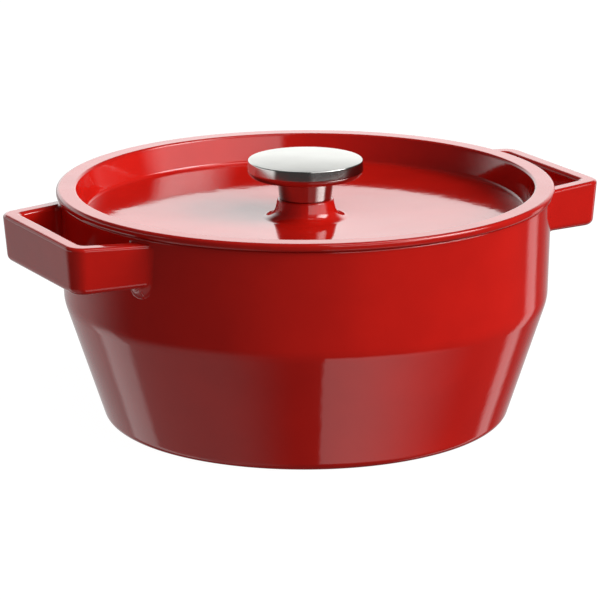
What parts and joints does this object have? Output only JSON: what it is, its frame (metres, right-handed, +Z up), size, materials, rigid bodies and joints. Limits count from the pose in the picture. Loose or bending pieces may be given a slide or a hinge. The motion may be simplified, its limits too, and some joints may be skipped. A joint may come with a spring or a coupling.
{
  "type": "cast iron dutch oven",
  "caption": "Round enamelled cast-iron casserole with loop handles, a lift-off lid with a recessed top and a steel mushroom knob screwed on from below.",
  "frame": {"origin": "on the table under the pot's axis", "axes": "+Z up along the pot's axis, X through the two handles with right_handle at +X"},
  "size_m": [0.296, 0.2482, 0.1319],
  "materials": {
    "red_enamel": "glossy red vitreous enamel on cast iron",
    "black_enamel": "satin black enamel inside the pot, under the lid and on the rim",
    "knob_steel": "polished stainless steel",
    "insert_brass": "turned brass",
    "fixing_steel": "plain stainless steel"
  },
  "bodies": {
    "pot": {"pot_body": "red_enamel", "left_handle": "red_enamel", "right_handle": "red_enamel"},
    "lid": {"lid_rim": "red_enamel", "lid_plate": "red_enamel", "lid_boss": "red_enamel", "knob_cap": "knob_steel", "knob_plate": "knob_steel", "knob_stem": "knob_steel", "knob_insert": "insert_brass", "knob_screw": "fixing_steel", "spring_washer": "fixing_steel", "flat_washer": "fixing_steel"}
  },
  "joints": [
    {"name": "lid_lift", "type": "slide", "parent": "pot", "child": "lid", "axis": [0, 0, 1], "range_m": [0, 0.15]}
  ]
}
